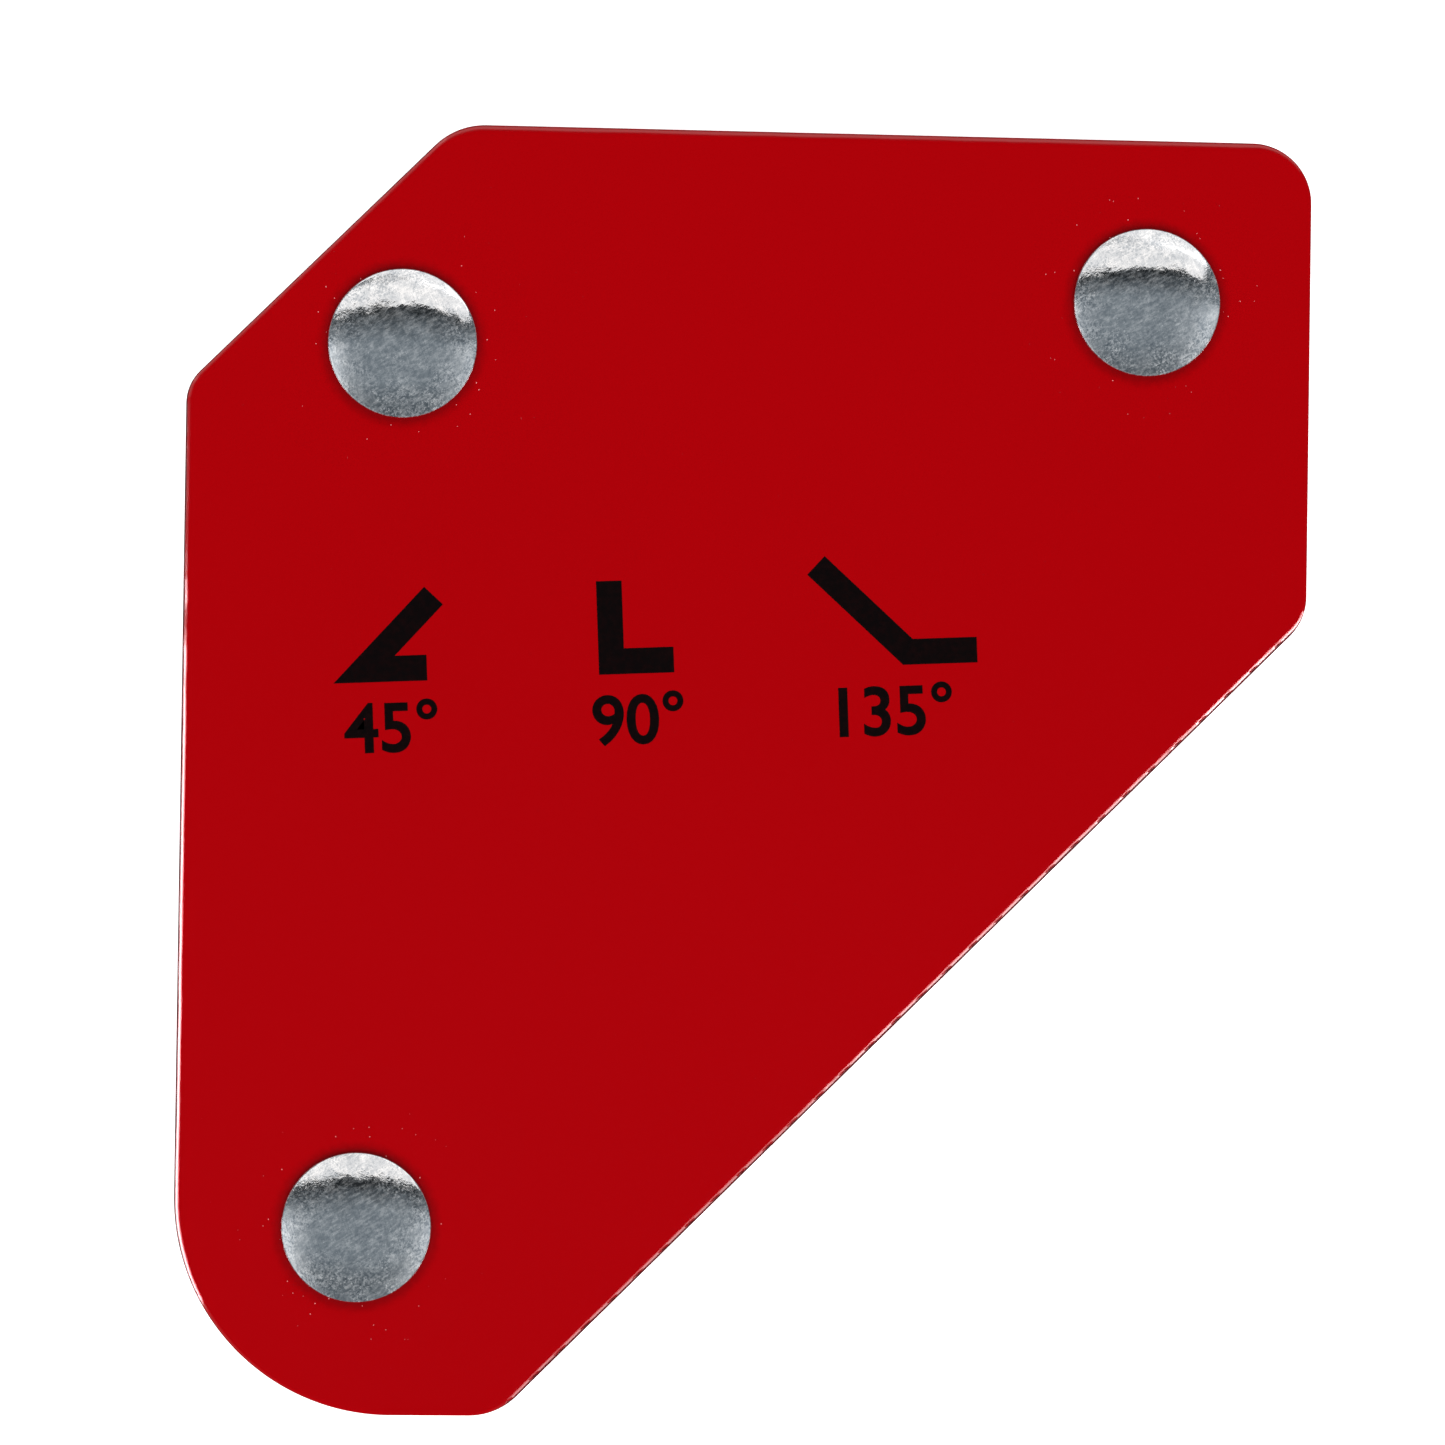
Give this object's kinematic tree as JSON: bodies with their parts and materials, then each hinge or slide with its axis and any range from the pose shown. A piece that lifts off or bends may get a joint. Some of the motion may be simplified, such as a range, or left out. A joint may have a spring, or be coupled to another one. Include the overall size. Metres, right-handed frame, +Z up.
{
  "type": "welding magnet holder",
  "caption": "Fixed magnetic welding square: two painted steel plates, riveted over spacers with ferrite magnets between, edges at 45, 90 and 135 degrees.",
  "frame": {"origin": "on the surface it lies on, in the middle of the plates' overall width and height", "axes": "+Z up, out of the front plate's face; +Y towards the long pole face, the object's longest extent; +X towards the short right pole face"},
  "size_m": [0.075, 0.0856, 0.016],
  "materials": {
    "red_paint": "gloss red stoving paint over stamped steel",
    "zinc_plate": "bright zinc plating, barrel plated, slightly pitted",
    "mild_steel": "cut mild steel tube, oiled",
    "black_ink": "thin pad printed ink on the front plate, shown only in the visual model",
    "ferrite": "sintered ferrite, ground on two faces, dark grey"
  },
  "bodies": {
    "root": {"rear_plate": "red_paint", "front_plate": "red_paint", "rivet_upper_left": "zinc_plate", "rivet_upper_right": "zinc_plate", "rivet_lower_left": "zinc_plate", "spacer_sleeve_upper_left": "mild_steel", "spacer_sleeve_upper_right": "mild_steel", "spacer_sleeve_lower_left": "mild_steel", "ferrite_magnet_top_1": "ferrite", "ferrite_magnet_top_2": "ferrite", "ferrite_magnet_left_1": "ferrite", "ferrite_magnet_left_2": "ferrite", "ferrite_magnet_diagonal_1": "ferrite", "ferrite_magnet_diagonal_2": "ferrite"}
  },
  "joints": []
}
